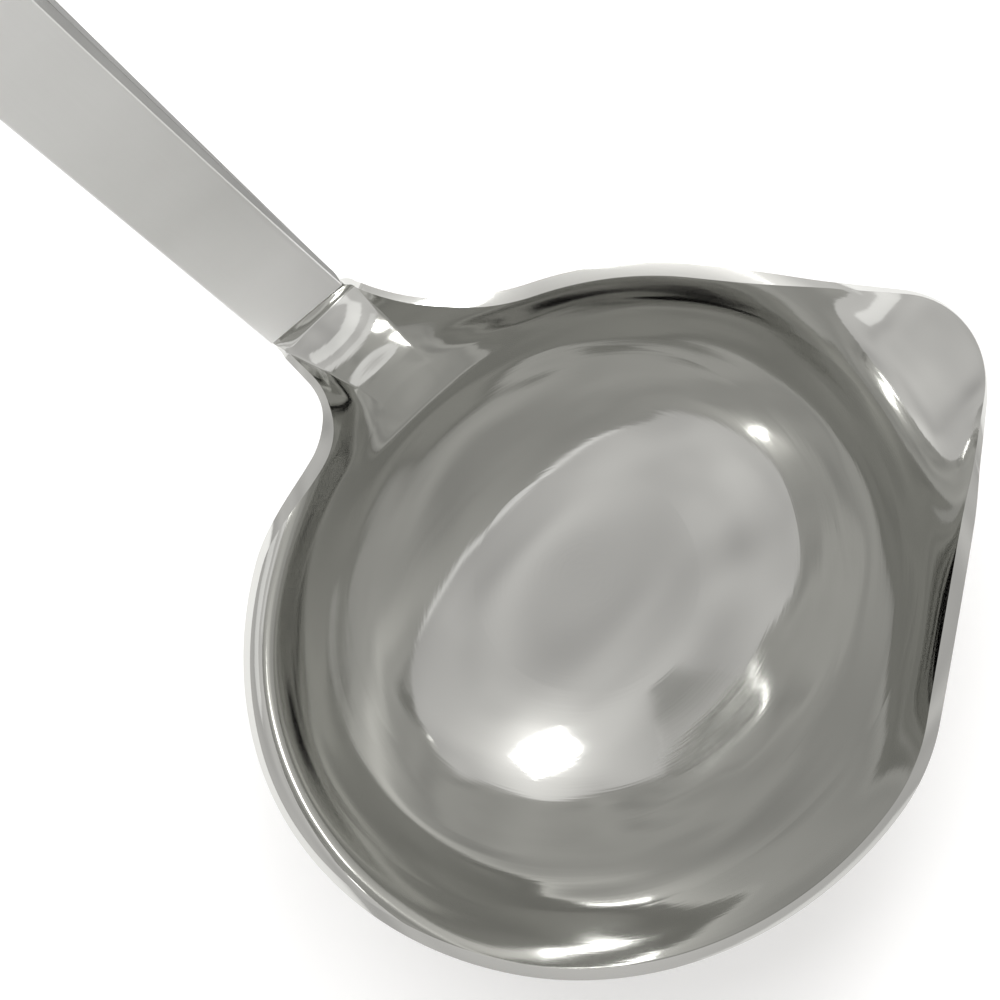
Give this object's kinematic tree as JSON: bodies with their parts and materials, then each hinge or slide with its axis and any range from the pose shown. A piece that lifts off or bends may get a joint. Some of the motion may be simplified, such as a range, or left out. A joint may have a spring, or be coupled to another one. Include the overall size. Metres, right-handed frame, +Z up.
{
  "type": "gravy ladle",
  "caption": "Polished steel gravy ladle: slightly oval drawn bowl with a side pouring spout and a neck that runs into a sloping hollow handle with a hanging hole.",
  "frame": {"origin": "centre of the bowl's flat base, on its underside", "axes": "+Z up with the rim level, -X towards the handle, +Y towards the spout"},
  "size_m": [0.1688, 0.0848, 0.1601],
  "materials": {
    "bowl_steel": "mirror-polished stainless steel",
    "front_shell_steel": "finely polished stainless steel",
    "back_shell_steel": "finely polished stainless steel",
    "weld_steel": "ground and polished weld",
    "tube_steel": "polished stainless steel"
  },
  "bodies": {
    "root": {"bowl": "bowl_steel", "handle_front_shell": "front_shell_steel", "handle_back_shell": "back_shell_steel", "mouth_weld": "weld_steel", "hang_tube": "tube_steel"}
  },
  "joints": []
}
